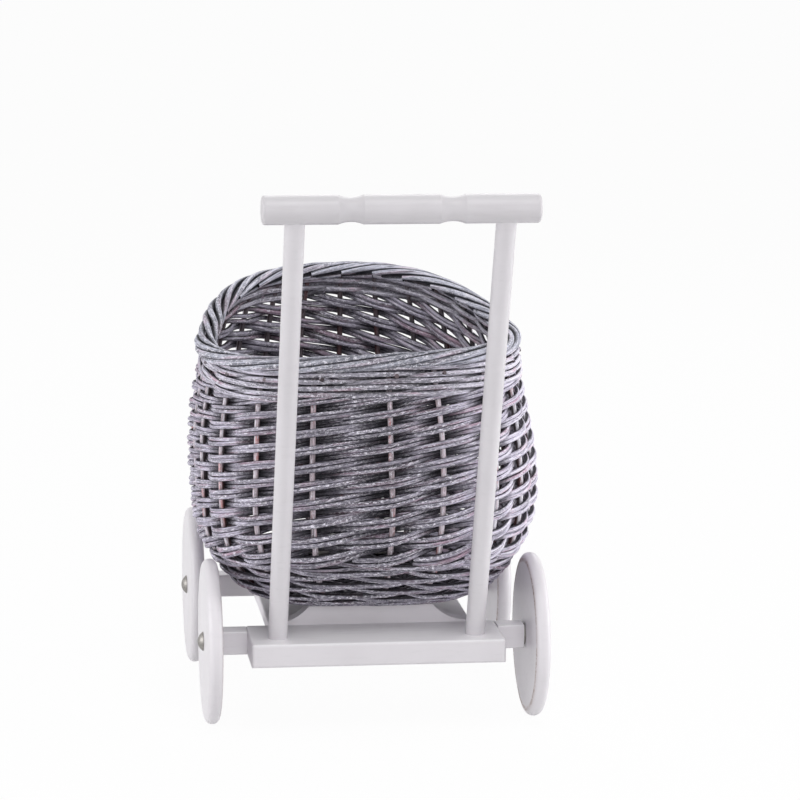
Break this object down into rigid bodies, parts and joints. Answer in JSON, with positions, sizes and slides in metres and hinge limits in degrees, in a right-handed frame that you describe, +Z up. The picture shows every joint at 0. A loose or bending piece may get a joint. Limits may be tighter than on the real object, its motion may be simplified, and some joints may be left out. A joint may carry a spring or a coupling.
{
  "type": "wicker push cart",
  "caption": "Child's wicker push cart: a bulging oval woven basket with a rolled rim on a wooden chassis with disc wheels and a leaning push handle.",
  "frame": {"origin": "on the floor, under the middle of the cart's outline", "axes": "+Z up, +Y the way the cart is pushed, away from the handle, +X to the right of the person pushing"},
  "size_m": [0.325, 0.5176, 0.5153],
  "materials": {
    "white_wood": "satin white paint",
    "bare_wood": "bare beech",
    "willow": "grey washed willow rods",
    "steel": "zinc plated"
  },
  "bodies": {
    "cart": {"rear_axle_beam": "white_wood", "front_axle_beam": "white_wood", "handle_plank": "white_wood", "platform_board": "white_wood", "rear_bolster": "white_wood", "front_bolster": "white_wood", "left_handle_post": "white_wood", "right_handle_post": "white_wood", "handle_bar": "white_wood", "platform_dowels": "bare_wood", "basket_base": "willow", "basket_upsett": "willow", "basket_wall": "willow", "basket_border": "willow", "rear_left_axle_bolt": "steel", "rear_right_axle_bolt": "steel", "front_left_axle_bolt": "steel", "front_right_axle_bolt": "steel", "wheel_washers": "steel", "basket_screws": "steel", "basket_washers": "steel", "bolster_screws": "steel", "plank_screws": "steel"},
    "rear_left_wheel_turning": {"rear_left_wheel": "white_wood"},
    "rear_right_wheel_turning": {"rear_right_wheel": "white_wood"},
    "front_left_wheel_turning": {"front_left_wheel": "white_wood"},
    "front_right_wheel_turning": {"front_right_wheel": "white_wood"}
  },
  "joints": [
    {"name": "rear_left_wheel_axle", "type": "hinge", "parent": "cart", "child": "rear_left_wheel_turning", "pos_m": [-0.1505, -0.0497, 0.0765], "axis": [1, 0, 0], "continuous": true},
    {"name": "rear_right_wheel_axle", "type": "hinge", "parent": "cart", "child": "rear_right_wheel_turning", "pos_m": [0.1505, -0.0497, 0.0765], "axis": [1, 0, 0], "continuous": true},
    {"name": "front_left_wheel_axle", "type": "hinge", "parent": "cart", "child": "front_left_wheel_turning", "pos_m": [-0.1505, 0.1823, 0.0765], "axis": [1, 0, 0], "continuous": true},
    {"name": "front_right_wheel_axle", "type": "hinge", "parent": "cart", "child": "front_right_wheel_turning", "pos_m": [0.1505, 0.1823, 0.0765], "axis": [1, 0, 0], "continuous": true}
  ]
}
